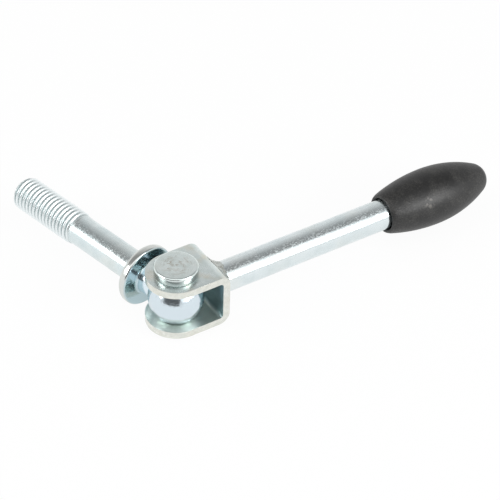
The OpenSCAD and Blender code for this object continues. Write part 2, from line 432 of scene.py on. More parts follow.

# Along the bolt the tint changes at the collar's rim, at its face, at the neck and on the ball. The
# face's darker blue is painted shade, standing in for the dark clevis it mirrors, and the neck's paler
# blue is a painted highlight.
for tint, change_at, change_done in (
        ("#dbdedb", collar_at - 1.5, collar_at + 0.5),
        ("#b7ccd2", collar_end - 0.6, collar_end),
        ("#e6f3fa", collar_end + 0.3, collar_end + 1.8),
        ("#d9e5ec", eye_at - eye_r, eye_at - 6.0)):
    reached = add_node(
        forge, "ShaderNodeMapRange", {0: forge_x, 1: change_at * mm, 2: change_done * mm})
    tint_with_painted_light = add_node(
        forge, "ShaderNodeMix", {0: reached, 6: tint_with_painted_light, 7: colour(tint)},
        data_type="RGBA").outputs[2]
forge.links.new(tint_with_painted_light, forge_shader.inputs["Base Color"])
forge_z = add_node(forge, "ShaderNodeSeparateXYZ", {0: forge_at}).outputs["Z"]
shank_top = add_node(
    forge, "ShaderNodeMapRange",
    {0: forge_z, 1: pits_low_z * mm, 2: pits_full_z * mm, 3: 0.1, 4: 0.8})
past_thread = add_node(
    forge, "ShaderNodeMapRange", {0: forge_x, 1: 0.0, 2: 1.0 * mm, 4: shank_top})
pit_strength = add_node(
    forge, "ShaderNodeMapRange",
    {0: forge_x, 1: (collar_at - 2) * mm, 2: (collar_at + 1) * mm, 3: past_thread, 4: 0.0})
skin = add_node(
    forge, "ShaderNodeTexNoise", {"Vector": forge_at, "Scale": 1 / (wave_mm * mm), "Detail": 2.0})
skin_depth = add_node(
    forge, "ShaderNodeMapRange",
    {0: forge_x, 1: (eye_at - 12) * mm, 2: (eye_at - 9) * mm, 3: 0.0, 4: 0.8})
skin_bump = add_node(
    forge, "ShaderNodeBump",
    {"Height": skin, "Strength": skin_depth, "Distance": wave_deep * mm})
forge.links.new(skin_bump.outputs[0], forge_shader.inputs["Normal"])
pitted(forge, forge_shader, forge_at, pit_mm, pit_strength)

# The thread follows a rule, so nodes draw it: a grid is rolled round the axis, and each point's
# radius comes from its place along the pitch once its own turn is taken off.
thread_rows = 500
seam_gap = 0.001
fade_pitches = 1.2
thread = bpy.data.node_groups.new("rolled_thread", "GeometryNodeTree")
thread.interface.new_socket("Thread", in_out="OUTPUT", socket_type="NodeSocketGeometry")
thread_sizes = {
    "Pitch": pitch, "Crest radius": thread_r, "Root radius": root_r, "Shank radius": shank_r,
    "Length": thread_len, "Tip radius": thread_r - tip_chamfer, "Run-out": runout}
thread_ports = {}
for size_name in thread_sizes:
    port = thread.interface.new_socket(size_name, in_out="INPUT", socket_type="NodeSocketFloat")
    thread_ports[size_name] = port.identifier
plating_port = thread.interface.new_socket(
    "Plating", in_out="INPUT", socket_type="NodeSocketMaterial")
given = add_node(thread, "NodeGroupInput").outputs
blank_grid = add_node(
    thread, "GeometryNodeMeshGrid",
    {"Size X": 1.0, "Size Y": 1.0, "Vertices X": thread_rows, "Vertices Y": bolt_steps + 1})
grid_spot = add_node(thread, "GeometryNodeInputPosition")
grid_place = add_node(thread, "ShaderNodeSeparateXYZ", {0: grid_spot}).outputs
turn = add_node(thread, "ShaderNodeMath", {0: grid_place["Y"], 1: 0.5}, operation="ADD")
row = add_node(thread, "ShaderNodeMath", {0: grid_place["X"], 1: 0.5}, operation="ADD")

# The first rows cover the flat tip, from the axis out, and the rest run along to the shank.
body_len = add_node(
    thread, "ShaderNodeMath", {0: given["Length"], 1: given["Run-out"]}, operation="ADD")
whole_len = add_node(
    thread, "ShaderNodeMath", {0: body_len, 1: given["Tip radius"]}, operation="ADD")
run = add_node(thread, "ShaderNodeMath", {0: row, 1: whole_len}, operation="MULTIPLY")
past_tip = add_node(
    thread, "ShaderNodeMath", {0: run, 1: given["Tip radius"]}, operation="SUBTRACT")
from_tip = add_node(
    thread, "ShaderNodeMath", {0: past_tip, 1: 0.0}, operation="MAXIMUM")
thread_x = add_node(
    thread, "ShaderNodeMath", {0: from_tip, 1: given["Length"]}, operation="SUBTRACT")
cone = add_node(
    thread, "ShaderNodeMath", {0: from_tip, 1: given["Tip radius"]}, operation="ADD")
tip_cap = add_node(thread, "ShaderNodeMath", {0: run, 1: cone}, operation="MINIMUM")

# A full pitch goes from crest to root and back in one smooth wave, and fades out into the shank.
pitches = add_node(
    thread, "ShaderNodeMath", {0: thread_x, 1: given["Pitch"]}, operation="DIVIDE")
phase = add_node(thread, "ShaderNodeMath", {0: pitches, 1: turn}, operation="SUBTRACT")
wave_turn = add_node(
    thread, "ShaderNodeMath", {0: phase, 1: 2 * math.pi}, operation="MULTIPLY")
wave_height = add_node(thread, "ShaderNodeMath", {0: wave_turn}, operation="COSINE")
ridge = add_node(
    thread, "ShaderNodeMapRange",
    {0: wave_height, 1: -1.0, 2: 1.0, 3: given["Root radius"], 4: given["Crest radius"]})
fade_start = add_node(
    thread, "ShaderNodeMath", {0: given["Pitch"], 1: -fade_pitches}, operation="MULTIPLY")
fade = add_node(
    thread, "ShaderNodeMapRange", {0: thread_x, 1: fade_start, 2: given["Run-out"]},
    interpolation_type="SMOOTHSTEP")
faded = add_node(thread, "ShaderNodeMix", {0: fade, 2: ridge, 3: given["Shank radius"]})
ridge_r = add_node(
    thread, "ShaderNodeMath", {0: faded, 1: tip_cap}, operation="MINIMUM")
angle = add_node(thread, "ShaderNodeMath", {0: turn, 1: 2 * math.pi}, operation="MULTIPLY")
cosine = add_node(thread, "ShaderNodeMath", {0: angle}, operation="COSINE")
sine = add_node(thread, "ShaderNodeMath", {0: angle}, operation="SINE")
thread_y = add_node(
    thread, "ShaderNodeMath", {0: ridge_r, 1: cosine}, operation="MULTIPLY")
thread_z = add_node(
    thread, "ShaderNodeMath", {0: ridge_r, 1: sine}, operation="MULTIPLY")
thread_spot = add_node(
    thread, "ShaderNodeCombineXYZ", {0: thread_x, 1: thread_y, 2: thread_z})
rolled = add_node(
    thread, "GeometryNodeSetPosition",
    {"Geometry": blank_grid.outputs["Mesh"], "Position": thread_spot})
seamed = add_node(
    thread, "GeometryNodeMergeByDistance", {"Geometry": rolled, "Distance": seam_gap})
real_thread = add_node(thread, "GeometryNodeRealizeInstances", {"Geometry": seamed})
plated_thread = add_node(
    thread, "GeometryNodeSetMaterial",
    {"Geometry": real_thread, "Material": given["Plating"]})
add_node(thread, "NodeGroupOutput", {0: plated_thread})

thread_object = bpy.data.objects.new("thread", bpy.data.meshes.new("thread"))
scene.collection.objects.link(thread_object)
rolling = thread_object.modifiers.new("rolled_thread", "NODES")
rolling.node_group = thread
for size_name, size in thread_sizes.items():
    rolling[thread_ports[size_name]] = size
rolling[plating_port.identifier] = forged_zinc
thread_mesh = plain_mesh(thread_object, "thread")

# Shank, fillet, rounded collar, fillet and neck: one turned outline, which carries on from the
# thread's last ring and ends inside the ball.
shank_ring = 21.0
bolt_line = [(runout, shank_r), (shank_ring, shank_r)]
bolt_line += arc(
    (collar_at - collar_fillet, shank_r + collar_fillet), collar_fillet, -90, 0, 8)
bolt_line += arc((collar_at + back_round, collar_r - back_round), back_round, 180, 90, 14)
bolt_line += arc((collar_end - face_round, collar_r - face_round), face_round, 90, 0, 6)
bolt_line += arc((collar_end + neck_fillet, neck_r + neck_fillet), neck_fillet, 180, 270, 6)
bolt_line += [(eye_at - 8.0, neck_r), (eye_at - 7.0, 0.0)]
stud = turned(bolt_line, bolt_steps)
stud.from_mesh(thread_mesh)
bmesh.ops.remove_doubles(stud, verts=stud.verts, dist=4 * seam_gap)
bmesh.ops.recalc_face_normals(stud, faces=stud.faces)
stud_mesh = placed_mesh(stud, "stud", Matrix.Identity(4))

# The ball eye, flat above and below with rounded edges, and its bore.
flat_inset = 0.8
half = eye_h / 2
flat_r = math.sqrt(eye_r ** 2 - half ** 2) - flat_inset
round_r = eye_r - flat_r
round_z = half - round_r
round_far = math.hypot(flat_r, round_z)
meet = math.atan2(round_z, flat_r)
meet += math.acos((eye_r ** 2 + round_far ** 2 - round_r ** 2) / (2 * eye_r * round_far))
meet_turn = math.degrees(meet)
meet_out = eye_r * math.cos(meet) - flat_r
meet_up = eye_r * math.sin(meet) - round_z
round_end = math.degrees(math.atan2(meet_out, meet_up))
eye_line = arc((round_z, flat_r), round_r, 0, round_end, 8)
eye_line += arc((0, 0), eye_r, 90 - meet_turn, 90 + meet_turn, 40)[1:]
eye_line += arc((-round_z, flat_r), round_r, 180 - round_end, 180, 8)[1:]
eye_line += [(-half, bore_r + bore_ease), (-half + bore_ease, bore_r)]
eye_line += [(half - bore_ease, bore_r), (half, bore_r + bore_ease)]
upright = Matrix.Rotation(-math.pi / 2, 4, "Y")
eye_place = Matrix.Translation(rivet_at) @ upright
eye_mesh = placed_mesh(turned(eye_line, ball_steps, ring=True), "eye", eye_place)

# Forged in one: the eye is joined to the neck. The thread's ridges stay smooth.
stud_object = bpy.data.objects.new("stud", stud_mesh)
eye_object = bpy.data.objects.new("eye", eye_mesh)
scene.collection.objects.link(stud_object)
scene.collection.objects.link(eye_object)
forging = stud_object.modifiers.new("forged_in_one", "BOOLEAN")
forging.operation = "UNION"
forging.solver = "EXACT"
forging.object = eye_object
bolt_mesh = plain_mesh(stud_object, "eye_bolt_forging")
bpy.data.objects.remove(eye_object)
bolt_mesh.materials.clear()
bolt_mesh.materials.append(forged_zinc)
finish_piece(bolt_mesh, "bolt", "eye_bolt", 40)
for thread_edge in bolt_mesh.edges:
    if all(bolt_mesh.vertices[i].co.x < runout * mm for i in thread_edge.vertices):
        thread_edge.use_edge_sharp = False


# Clevis
# One strip of 3 mm sheet steel, punched with round ends and two holes, tumbled, bent to a U and
# plated. The rivet holds its ears on the eye, and the bar is welded to the back of its web.
handle_turn = math.radians(77)
clevis_lift = 0.2
sheet_t = 3.0
strip_half = 12.0
ear_gap = 17.2
web_reach = 14.0
bend_r = 1.5
rivet_r = 5.0
edge_r = 0.6
handle_frame = Matrix.Translation(rivet_at + Vector((0, 0, clevis_lift * mm)))
handle_frame = handle_frame @ Matrix.Rotation(handle_turn, 4, "Z")
half_web = ear_gap / 2 - bend_r
mid_r = bend_r + sheet_t / 2
bend_len = mid_r * math.pi / 2
ear_run = web_reach - bend_r
hole_at = half_web + bend_len + ear_run

# Zinc on rolled sheet: pale grey outside, duller inside the U. Inside, a bluer, darker tint, darkest on
# the web, is painted shade. There are rolling lines along the strip about 0.5 mm apart. The tones and
# the lines go by the places on the flat blank.
inside_dull = 0.40
web_painted_shade = "#98b1b6"
inner_ear_painted_shade = "#dde4dc"
inside_edge = (-1.2, -0.6)
line_size = (9.0, 0.5, 0.5)
line_deep = 0.020
sheet_zinc, strip, strip_shader, strip_at = zinc_plate(
    "zinc_on_sheet_steel", pale="#e6efef", dull="#d9e4e2", gloss=0.27, cloud_mm=3.5, film=0.5)
blank_at = add_node(strip, "ShaderNodeAttribute", attribute_name="flat_blank").outputs["Vector"]
blank_out = add_node(strip, "ShaderNodeSeparateXYZ", {0: blank_at}).outputs["Z"]
outer_share = add_node(
    strip, "ShaderNodeMapRange", {0: blank_out, 1: inside_edge[0], 2: inside_edge[1]})
outer_tint = strip_shader.inputs["Base Color"].links[0].from_socket
blank_along = add_node(strip, "ShaderNodeSeparateXYZ", {0: blank_at}).outputs["X"]
from_middle = add_node(strip, "ShaderNodeMath", {0: blank_along}, operation="ABSOLUTE")
ear_share = add_node(
    strip, "ShaderNodeMapRange", {0: from_middle, 1: half_web, 2: half_web + bend_len})
# Painted shade: inside the U the tint is darker and bluer, darkest on the web.
inside_painted_shade = add_node(
    strip, "ShaderNodeMix", {0: ear_share, 6: colour(web_painted_shade), 7: colour(inner_ear_painted_shade)},
    data_type="RGBA")
outside_and_shaded_inside = add_node(
    strip, "ShaderNodeMix", {0: outer_share, 6: inside_painted_shade.outputs[2], 7: outer_tint},
    data_type="RGBA")
strip.links.new(outside_and_shaded_inside.outputs[2], strip_shader.inputs["Base Color"])
outer_gloss = strip_shader.inputs["Roughness"].links[0].from_socket
two_gloss = add_node(strip, "ShaderNodeMix", {0: outer_share, 2: inside_dull, 3: outer_gloss})
strip.links.new(two_gloss.outputs[0], strip_shader.inputs["Roughness"])
line_at = add_node(
    strip, "ShaderNodeMapping", {"Vector": blank_at, "Scale": line_size}, vector_type="TEXTURE")
lines = add_node(
    strip, "ShaderNodeTexNoise", {"Vector": line_at, "Scale": 1.0, "Detail": 3.0})
line_bump = add_node(
    strip, "ShaderNodeBump",
    {"Height": lines, "Strength": 0.8, "Distance": line_deep * mm})
strip.links.new(line_bump.outputs[0], strip_shader.inputs["Normal"])
pitted(strip, strip_shader, strip_at, pit_mm=0.9, strength=0.4)

# Zinc on the punched edges: creamy, with tear lines across the thickness about 0.5 mm apart. The
# outer half is sheared smooth by the punch, and the inner half is torn and dull.
sheared_gloss = 0.22
sheared_edge = (-0.1, 0.3)
tear_size = (0.5, 0.5, 4.0)
tear_deep = 0.030
edge_zinc, edge, edge_shader = zinc_plate(
    "zinc_on_punched_edge", pale="#eaebe4", dull="#dcded6", gloss=0.34, cloud_mm=2.0)[:3]
tear_from = add_node(edge, "ShaderNodeAttribute", attribute_name="flat_blank").outputs["Vector"]
tear_at = add_node(
    edge, "ShaderNodeMapping", {"Vector": tear_from, "Scale": tear_size}, vector_type="TEXTURE")
tears = add_node(
    edge, "ShaderNodeTexNoise", {"Vector": tear_at, "Scale": 1.0, "Detail": 3.0})
tear_bump = add_node(
    edge, "ShaderNodeBump",
    {"Height": tears, "Strength": 0.9, "Distance": tear_deep * mm})
edge.links.new(tear_bump.outputs[0], edge_shader.inputs["Normal"])
tear_out = add_node(edge, "ShaderNodeSeparateXYZ", {0: tear_from}).outputs["Z"]
sheared = add_node(
    edge, "ShaderNodeMapRange", {0: tear_out, 1: sheared_edge[0], 2: sheared_edge[1]})
torn_gloss = edge_shader.inputs["Roughness"].links[0].from_socket
edge_gloss = add_node(edge, "ShaderNodeMix", {0: sheared, 2: torn_gloss, 3: sheared_gloss})
edge.links.new(edge_gloss.outputs[0], edge_shader.inputs["Roughness"])

# Zinc on the tumbled corners: rubbed bright, so they mirror the room in thin light and dark lines.
corner_zinc = zinc_plate(
    "zinc_on_tumbled_corner", pale="#eceeea", dull="#e0e3dd", gloss=0.12, cloud_mm=2.0)[0]

# The flat blank, in millimetres: rows across the strip, close in the bends and narrowing at the
# round ends, given its thickness, punched and tumbled.
web_rows = 4
bend_rows = 16
ear_rows = 6
end_rows = 28
half_columns = 3
rows = [half_web * i / web_rows for i in range(-web_rows, web_rows + 1)]
for end in (-1, 1):
    rows += [end * (half_web + bend_len * i / bend_rows) for i in range(1, bend_rows + 1)]
    rows += [end * (half_web + bend_len + ear_run * i / ear_rows) for i in range(1, ear_rows + 1)]
blank_rows = [(s, strip_half) for s in rows]
for i in range(1, end_rows + 1):
    end_turn = math.pi / 2 * i / end_rows
    end_s = hole_at + strip_half * math.sin(end_turn)
    end_half = strip_half * math.cos(end_turn)
    blank_rows += [(-end_s, end_half), (end_s, end_half)]
blank = bmesh.new()
strips = []
for s, wide in sorted(blank_rows):
    if wide < 1e-6:
        strips.append([blank.verts.new((s, 0, 0))] * (2 * half_columns + 1))
    else:
        columns = range(-half_columns, half_columns + 1)
        strips.append([blank.verts.new((s, wide * k / half_columns, 0)) for k in columns])
for low, high in zip(strips, strips[1:]):
    for k in range(2 * half_columns):
        four = list(dict.fromkeys([low[k], high[k], high[k + 1], low[k + 1]]))
        if len(four) > 2:
            blank.faces.new(four)
bmesh.ops.recalc_face_normals(blank, faces=blank.faces)
blank_mesh = bpy.data.meshes.new("blank")
blank.to_mesh(blank_mesh)
blank.free()
for zinc in (sheet_zinc, edge_zinc, corner_zinc):
    blank_mesh.materials.append(zinc)
blank_object = bpy.data.objects.new("blank", blank_mesh)
scene.collection.objects.link(blank_object)
thickness = blank_object.modifiers.new("sheet", "SOLIDIFY")
thickness.thickness = sheet_t
thickness.offset = 0.0
thickness.material_offset_rim = 1
punch_half = 4.0
punch_steps = 64
punch_line = [(-punch_half, 0), (-punch_half, rivet_r), (punch_half, rivet_r), (punch_half, 0)]
punches = []
for end in (-1, 1):
    punch = turned(punch_line, punch_steps)
    punch_place = Matrix.Translation((end * hole_at, 0, 0)) @ upright
    bmesh.ops.transform(punch, matrix=punch_place, verts=punch.verts)
    punch_mesh = bpy.data.meshes.new("punch")
    punch.to_mesh(punch_mesh)
    punch.free()
    punch_object = bpy.data.objects.new("punch", punch_mesh)
    scene.collection.objects.link(punch_object)
    hole = blank_object.modifiers.new("punched", "BOOLEAN")
    hole.operation = "DIFFERENCE"
    hole.solver = "EXACT"
    hole.object = punch_object
    punches.append(punch_object)
tumbled = blank_object.modifiers.new("tumbled", "BEVEL")
tumbled.width = edge_r
tumbled.segments = 4
tumbled.material = 2
tumbled.limit_method = "ANGLE"
tumbled.angle_limit = math.radians(60)
clevis_mesh = plain_mesh(blank_object, "bent_clevis")
for punch_object in punches:
    bpy.data.objects.remove(punch_object)

# Bending: the flat length becomes the web, the two bends and the ears. Each point keeps its place
# on the blank for the materials.
flat_places = clevis_mesh.attributes.new("flat_blank", "FLOAT_VECTOR", "POINT")
for v in clevis_mesh.vertices:
    flat_places.data[v.index].vector = v.co
    s, side_way, proud = v.co
    end = 1 if s >= 0 else -1
    s = abs(s)
    if s <= half_web:
        bent_x = web_reach + sheet_t / 2 + proud
        bent_z = s
    elif s <= half_web + bend_len:
        bend_turn = (s - half_web) / mid_r
        bent_x = ear_run + (mid_r + proud) * math.cos(bend_turn)
        bent_z = half_web + (mid_r + proud) * math.sin(bend_turn)
    else:
        bent_x = ear_run - (s - half_web - bend_len)
        bent_z = half_web + mid_r + proud
    v.co = handle_frame @ (Vector((bent_x, side_way, end * bent_z)) * mm)
bent = bmesh.new()
bent.from_mesh(clevis_mesh)
bmesh.ops.recalc_face_normals(bent, faces=bent.faces)
bent.to_mesh(clevis_mesh)
bent.free()
finish_piece(clevis_mesh, "handle", "clevis", 40)


# Rivet
# A turned steel rivet: a flat round head on the upper ear, a shank through both ears and the eye,
# and a tail peened over under the lower ear. The flat top keeps the swirl of the turning tool.
ear_out = ear_gap / 2 + sheet_t
head_r = 8.7
head_h = 3.8
rim_round = 0.9
under_round = 0.5
tail_r = 7.5
tail_h = 2.4
rivet_steps = 128
head_top = ear_out + head_h
tail_tip = -ear_out - tail_h
tail_ball = (tail_r ** 2 + tail_h ** 2) / (2 * tail_h)
tail_end = math.degrees(math.asin(tail_r / tail_ball))
rivet_line = [(tail_tip, 0.0)]
rivet_line += arc((tail_tip + tail_ball, 0.0), tail_ball, 178, 180 - tail_end, 12)
rivet_line += [(-ear_out, rivet_r), (ear_out, rivet_r), (ear_out, head_r - under_round)]
rivet_line += arc((ear_out + under_round, head_r - under_round), under_round, 180, 90, 5)[1:]
rivet_line += arc((head_top - rim_round, head_r - rim_round), rim_round, 90, 0, 8)
rivet_line += [(head_top, head_r / 2), (head_top, 0.0)]
rivet_mesh = placed_mesh(turned(rivet_line, rivet_steps), "hinge_rivet", handle_frame @ upright)

# Zinc on turned steel: satin on the flat top, glossier below the rim, where a greyer tint is painted
# shade. Tool marks 0.8 mm apart go round the top: they wander a little, are worn away in places and
# hold a trace of brown.
mark_mm = 0.8
mark_deep = 0.026
marks_stray = 7.0
stray_mm = 4.0
worn_mm = 2.0
marks_full_r = 0.45 * head_r
marks_end_r = 0.88 * head_r
side_gloss = 0.13
stain_tint = "#bcb6ab"
side_painted_shade = "#c1c8c7"
top_z = (clevis_lift + head_top) * mm
turned_zinc, swirl, swirl_shader, swirl_at = zinc_plate(
    "zinc_on_turned_steel", pale="#ecf5f4", dull="#dfeae8", gloss=0.21, cloud_mm=3.0)
centred = add_node(
    swirl, "ShaderNodeVectorMath", {0: swirl_at, 1: rivet_at}, operation="SUBTRACT")
outward = add_node(
    swirl, "ShaderNodeVectorMath", {0: centred, 1: (1.0, 1.0, 0.0)}, operation="MULTIPLY")
from_axis = add_node(
    swirl, "ShaderNodeVectorMath", {0: outward}, operation="LENGTH").outputs["Value"]
wander = add_node(
    swirl, "ShaderNodeTexNoise", {"Vector": swirl_at, "Scale": 1 / (stray_mm * mm), "Detail": 2.0})
strayed = add_node(
    swirl, "ShaderNodeMath", {0: wander, 1: marks_stray}, operation="MULTIPLY")
mark_count = add_node(
    swirl, "ShaderNodeMath", {0: from_axis, 1: 1 / (mark_mm * mm), 2: strayed},
    operation="MULTIPLY_ADD")
marks = add_node(
    swirl, "ShaderNodeTexNoise", {"W": mark_count, "Scale": 1.0, "Detail": 2.0},
    noise_dimensions="1D")
swirl_z = add_node(swirl, "ShaderNodeSeparateXYZ", {0: swirl_at}).outputs["Z"]
on_head = add_node(
    swirl, "ShaderNodeMapRange", {0: swirl_z, 1: 0.0, 2: 1.0 * mm, 3: 0.0, 4: 0.9})
mark_depth = add_node(
    swirl, "ShaderNodeMapRange",
    {0: from_axis, 1: marks_full_r * mm, 2: marks_end_r * mm, 3: on_head, 4: 0.0})
mark_bump = add_node(
    swirl, "ShaderNodeBump",
    {"Height": marks, "Strength": mark_depth, "Distance": mark_deep * mm})
swirl.links.new(mark_bump.outputs[0], swirl_shader.inputs["Normal"])
worn = add_node(
    swirl, "ShaderNodeTexNoise", {"Vector": swirl_at, "Scale": 1 / (worn_mm * mm), "Detail": 2.0})
kept_share = add_node(
    swirl, "ShaderNodeMapRange",
    {0: worn, 1: 0.46, 2: 0.60, 3: 0.0, 4: mark_depth})
stain_share = add_node(
    swirl, "ShaderNodeMapRange", {0: marks, 1: 0.40, 2: 0.66, 3: 0.0, 4: kept_share})
plain_tint = swirl_shader.inputs["Base Color"].links[0].from_socket
stained = add_node(
    swirl, "ShaderNodeMix", {0: stain_share, 6: plain_tint, 7: colour(stain_tint)},
    data_type="RGBA")
# Painted shade: below the rim the head's side and the tail get a greyer tint.
below_rim = add_node(
    swirl, "ShaderNodeMapRange", {0: swirl_z, 1: top_z - 0.7 * mm, 2: top_z - 1.1 * mm})
shaded_below_rim = add_node(
    swirl, "ShaderNodeMix", {0: below_rim, 6: stained.outputs[2], 7: colour(side_painted_shade)},
    data_type="RGBA")
swirl.links.new(shaded_below_rim.outputs[2], swirl_shader.inputs["Base Color"])
satin = swirl_shader.inputs["Roughness"].links[0].from_socket
head_gloss = add_node(
    swirl, "ShaderNodeMapRange",
    {0: swirl_z, 1: top_z - 0.5 * mm, 2: top_z - 0.1 * mm, 3: side_gloss, 4: satin})
swirl.links.new(head_gloss.outputs[0], swirl_shader.inputs["Roughness"])
rivet_mesh.materials.append(turned_zinc)
finish_piece(rivet_mesh, "handle", "hinge_pin", 35)


# Bar
# A straight length of drawn round steel bar, chamfered at its hidden end, butt-welded to the
# clevis and plated.
rod_r = 6.25
rod_chamfer = 1.0
bare_len = 80.0
hole_len = 38.0
ring_step = 26.0
rod_steps = 128
web_face = web_reach + sheet_t
mouth_at = web_face + bare_len
rod_end = mouth_at + hole_len
rod_line = [(web_face, 0.0)]
rod_line += [(web_face + ring_step * i, rod_r) for i in range(3)]
rod_line += [(rod_end - rod_chamfer, rod_r), (rod_end, rod_r - rod_chamfer), (rod_end, 0.0)]
rod_mesh = placed_mesh(turned(rod_line, rod_steps), "drawn_bar", handle_frame)

# Zinc on drawn bar: bright, with a pitted skin that is cleaner below. The pits are about 0.3 mm
# across, drawn here at 0.6 mm and stretched along the bar, so that they show.
drawn_zinc, drawn, drawn_shader, drawn_at = zinc_plate(
    "zinc_on_drawn_bar", pale="#e6eef0", dull="#dbe5e7", gloss=0.13, cloud_mm=7.0)
pit_stretch = (1.5, 1, 1)
along_bar = add_node(
    drawn, "ShaderNodeMapping",
    {"Vector": drawn_at, "Location": rivet_at, "Rotation": (0, 0, handle_turn), "Scale": pit_stretch},
    vector_type="TEXTURE")
drawn_z = add_node(drawn, "ShaderNodeSeparateXYZ", {0: drawn_at}).outputs["Z"]
bar_top = add_node(
    drawn, "ShaderNodeMapRange",
    {0: drawn_z, 1: pits_low_z * mm, 2: pits_full_z * mm, 3: 0.1, 4: 1.0})
pitted(drawn, drawn_shader, along_bar, pit_mm, bar_top)
rod_mesh.materials.append(drawn_zinc)
finish_piece(rod_mesh, "handle", "handle_rod", 35)


# Weld
# One fillet bead run round the foot of the bar onto the web and its bends, plated over with the
# rest. It keeps the ripples of the weld pool, its face is a little hollow, and its edges are ragged.
bend_out = bend_r + sheet_t
toe_len = 3.8
toe_lean = 0.7
lean_turn = 0.3
foot_r = 10.1
toe_lip = 0.15
root_in = 0.6
root_deep = 1.5
foot_lip = 0.1
foot_in = 0.2
foot_deep = 0.5
hollow = 0.55
weld_steps = 200
weld_rows = 12

# The waves of the ragged edges: size, waves round the bar, and where each starts.
toe_waves = ((0.22, 5, 1.0), (0.15, 13, 0.0), (0.10, 23, 2.0))
foot_waves = ((0.20, 4, 2.0), (0.12, 11, 0.0))
bead = bmesh.new()
bead_rings = []
for i in range(weld_steps):
    a = 2 * math.pi * i / weld_steps
    toe = toe_len + toe_lean * math.cos(a - lean_turn)
    toe += sum(size * math.sin(count * a + start) for size, count, start in toe_waves)
    foot = foot_r + sum(size * math.sin(count * a + start) for size, count, start in foot_waves)
    over = max(0.0, abs(foot * math.sin(a)) - half_web)
    foot_x = ear_run + math.sqrt(max(0.0, bend_out ** 2 - over ** 2)) - web_face
    section = [(-root_deep, rod_r - root_in), (toe, rod_r - root_in), (toe, rod_r + toe_lip)]
    for k in range(1, weld_rows):
        t = k / weld_rows
        sunk = 0.75 * hollow * math.sin(math.pi * t) ** 0.8
        bead_x = toe + (foot_x - toe) * t - sunk
        bead_r = rod_r + toe_lip + (foot - rod_r) * t - sunk
        section.append((bead_x, bead_r))
    section += [(foot_x + foot_lip, foot + foot_lip), (foot_x - foot_deep, foot - foot_in)]
    ring_points = [(web_face + x, r * math.cos(a), r * math.sin(a)) for x, r in section]
    bead_rings.append([bead.verts.new(point) for point in ring_points])
for i in range(weld_steps):
    low = bead_rings[i]
    high = bead_rings[(i + 1) % weld_steps]
    for k in range(len(low)):
        n = (k + 1) % len(low)
        bead.faces.new((low[k], low[n], high[n], high[k]))
bmesh.ops.recalc_face_normals(bead, faces=bead.faces)
bead_mesh = bpy.data.meshes.new("bead")
bead.to_mesh(bead_mesh)
bead.free()

# Zinc on the weld: duller and darker, with a scaly skin about 0.5 mm fine.
scale_mm = 0.5
scale_deep = 0.06
weld_zinc, pool, pool_shader, pool_at = zinc_plate(
    "zinc_on_weld", pale="#ccd1ce", dull="#9ba09c", gloss=0.24, cloud_mm=1.2, film=0.25)
scale_skin = add_node(
    pool, "ShaderNodeTexNoise", {"Vector": pool_at, "Scale": 1 / (scale_mm * mm), "Detail": 3.0})
scale_bump = add_node(
    pool, "ShaderNodeBump",
    {"Height": scale_skin, "Strength": 0.8, "Distance": scale_deep * mm})
pool.links.new(scale_bump.outputs[0], pool_shader.inputs["Normal"])

# The ripples run round the bar one after another, so nodes raise them along the bead's normals:
# a wave of the angle about the bar, bent back across the bead, and a fixed noise.
ripple = bpy.data.node_groups.new("weld_ripples", "GeometryNodeTree")
ripple.interface.new_socket("Bead", in_out="OUTPUT", socket_type="NodeSocketGeometry")
ripple.interface.new_socket("Bead", in_out="INPUT", socket_type="NodeSocketGeometry")
ripple_sizes = {
    "Ripples round": 38.0, "Ripple height": 0.07, "Bend back": 0.45, "Lump size": 1.5,
    "Lump height": 0.30}
ripple_middle = web_face + 2.0
ripple_ports = {}
for size_name in ripple_sizes:
    port = ripple.interface.new_socket(size_name, in_out="INPUT", socket_type="NodeSocketFloat")
    ripple_ports[size_name] = port.identifier
skin_port = ripple.interface.new_socket(
    "Plating", in_out="INPUT", socket_type="NodeSocketMaterial")
bead_in = add_node(ripple, "NodeGroupInput").outputs
bead_spot = add_node(ripple, "GeometryNodeInputPosition")
bead_place = add_node(ripple, "ShaderNodeSeparateXYZ", {0: bead_spot}).outputs
round_bar = add_node(
    ripple, "ShaderNodeMath", {0: bead_place["Z"], 1: bead_place["Y"]}, operation="ARCTAN2")
waves = add_node(
    ripple, "ShaderNodeMath", {0: round_bar, 1: bead_in["Ripples round"]},
    operation="MULTIPLY")
off_middle = add_node(
    ripple, "ShaderNodeMath", {0: bead_place["X"], 1: ripple_middle}, operation="SUBTRACT")
squared = add_node(
    ripple, "ShaderNodeMath", {0: off_middle, 1: off_middle}, operation="MULTIPLY")
bent_wave = add_node(
    ripple, "ShaderNodeMath", {0: squared, 1: bead_in["Bend back"], 2: waves},
    operation="MULTIPLY_ADD")
wave = add_node(ripple, "ShaderNodeMath", {0: bent_wave}, operation="SINE")
raised = add_node(
    ripple, "ShaderNodeMath", {0: wave, 1: bead_in["Ripple height"]}, operation="MULTIPLY")
lump_scale = add_node(
    ripple, "ShaderNodeMath", {0: 1.0, 1: bead_in["Lump size"]}, operation="DIVIDE")
lumps = add_node(
    ripple, "ShaderNodeTexNoise",
    {"Vector": bead_spot, "Scale": lump_scale, "Detail": 1.0})
lump_mid = add_node(ripple, "ShaderNodeMath", {0: lumps, 1: 0.5}, operation="SUBTRACT")
height = add_node(
    ripple, "ShaderNodeMath", {0: lump_mid, 1: bead_in["Lump height"], 2: raised},
    operation="MULTIPLY_ADD")
bead_normal = add_node(ripple, "GeometryNodeInputNormal")
lifted = add_node(
    ripple, "ShaderNodeVectorMath", {0: bead_normal, "Scale": height}, operation="SCALE")
rippled = add_node(
    ripple, "GeometryNodeSetPosition", {"Geometry": bead_in["Bead"], "Offset": lifted})
real_bead = add_node(ripple, "GeometryNodeRealizeInstances", {"Geometry": rippled})
plated_bead = add_node(
    ripple, "GeometryNodeSetMaterial",
    {"Geometry": real_bead, "Material": bead_in["Plating"]})
